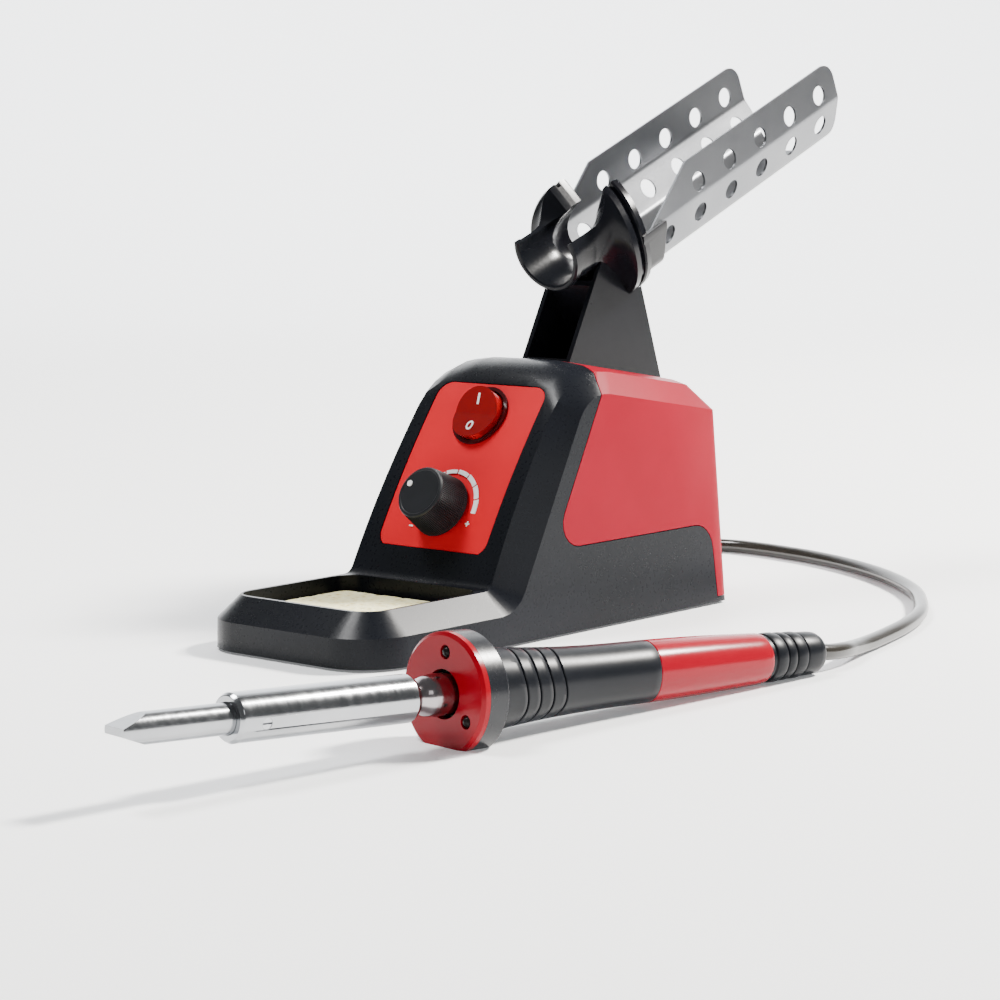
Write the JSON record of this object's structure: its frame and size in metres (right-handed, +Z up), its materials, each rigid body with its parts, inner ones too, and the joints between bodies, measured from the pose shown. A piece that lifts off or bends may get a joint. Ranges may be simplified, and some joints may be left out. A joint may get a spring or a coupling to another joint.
{
  "type": "soldering iron station",
  "caption": "Soldering station with sloped control housing, sponge tray, perforated steel iron rest on a post, and a corded pencil iron beside it.",
  "frame": {"origin": "middle of the housing's footprint, on the desk", "axes": "+Z up; +X to the station's right seen from its controls; +Y from the sponge tray to the rear wall"},
  "size_m": [0.1918, 0.4275, 0.1819],
  "materials": {
    "housing_black": "satin",
    "cover_red": "satin",
    "base_black": "matte",
    "foot_rubber": "matte",
    "screw_steel": "brushed",
    "ballast_iron": "rough",
    "panel_red": "satin",
    "print_white": "printed",
    "switch_plastic": "gloss",
    "terminal_brass": "tinned",
    "lamp_glass": "clear",
    "rocker_red": "translucent gloss",
    "pot_green": "satin",
    "nut_steel": "plated",
    "shaft_aluminium": "turned",
    "knob_black": "matte, fine ribs",
    "board_green": "solder mask",
    "triac_epoxy": "moulded epoxy",
    "heat_sink_aluminium": "extruded",
    "capacitor_yellow": "dipped",
    "resistor_ceramic": "lacquered",
    "fuse_glass": "clear",
    "terminal_blue": "satin",
    "gland_black": "satin",
    "sponge_cellulose": "open pored",
    "rest_black": "satin",
    "trough_steel": "brushed",
    "rivet_steel": "satin",
    "tip_plated": "plated, tinned end",
    "barrel_steel": "polished",
    "neck_steel": "satin",
    "heater_ceramic": "unglazed",
    "flange_red": "gloss",
    "led_lens": "clear",
    "handle_plastic": "satin",
    "grip_black": "soft touch",
    "handle_red": "gloss",
    "boot_rubber": "matte",
    "cord_pvc": "semi-gloss"
  },
  "bodies": {
    "station": {"front_housing": "housing_black", "rear_cover": "cover_red", "base_plate": "base_black", "rubber_feet": "foot_rubber", "base_screws": "screw_steel", "ballast_plate": "ballast_iron", "ballast_screws": "screw_steel", "control_panel": "panel_red", "panel_scale": "print_white", "switch_body": "switch_plastic", "switch_terminals": "terminal_brass", "neon_lamp": "lamp_glass", "pot_body": "pot_green", "pot_nut": "nut_steel", "circuit_board": "board_green", "board_screws": "screw_steel", "triac": "triac_epoxy", "heat_sink": "heat_sink_aluminium", "capacitor": "capacitor_yellow", "resistors": "resistor_ceramic", "fuse": "fuse_glass", "fuse_clips": "terminal_brass", "terminal_block": "terminal_blue", "mains_gland": "gland_black", "cord_gland": "gland_black", "gland_nuts": "gland_black", "support_post": "rest_black", "post_screws": "screw_steel", "iron_cradle": "rest_black", "holder_trough": "trough_steel", "trough_rivets": "rivet_steel", "iron_cord": "cord_pvc"},
    "rocker": {"rocker": "rocker_red", "rocker_marks": "print_white"},
    "knob": {"knob": "knob_black", "knob_dot": "print_white", "pot_shaft": "shaft_aluminium"},
    "sponge": {"sponge": "sponge_cellulose"},
    "iron": {"tip": "tip_plated", "barrel": "barrel_steel", "tip_screw": "screw_steel", "heater_core": "heater_ceramic", "barrel_neck": "neck_steel", "flange_disc": "flange_red", "led_lamps": "led_lens", "led_board": "board_green", "flange_ring": "handle_plastic", "handle_core": "handle_plastic", "grip_sleeve": "grip_black", "rear_handle": "handle_red", "cord_boot": "boot_rubber"}
  },
  "joints": [
    {"name": "rocker_tilt", "type": "hinge", "parent": "station", "child": "rocker", "pos_m": [0, 0.00626, 0.06771], "axis": [1, 0, 0], "range_deg": [-14, 0]},
    {"name": "knob_turn", "type": "hinge", "parent": "station", "child": "knob", "pos_m": [0, -0.01307, 0.04], "axis": [0, 0.863, -0.5051], "range_deg": [-45, 165]},
    {"name": "sponge_lift", "type": "slide", "parent": "station", "child": "sponge", "axis": [0, 0, 1], "range_m": [0, 0.03]},
    {"name": "iron_lift", "type": "slide", "parent": "station", "child": "iron", "axis": [0, 0, 1], "range_m": [0, 0.06], "deforming": ["iron_cord"]}
  ]
}
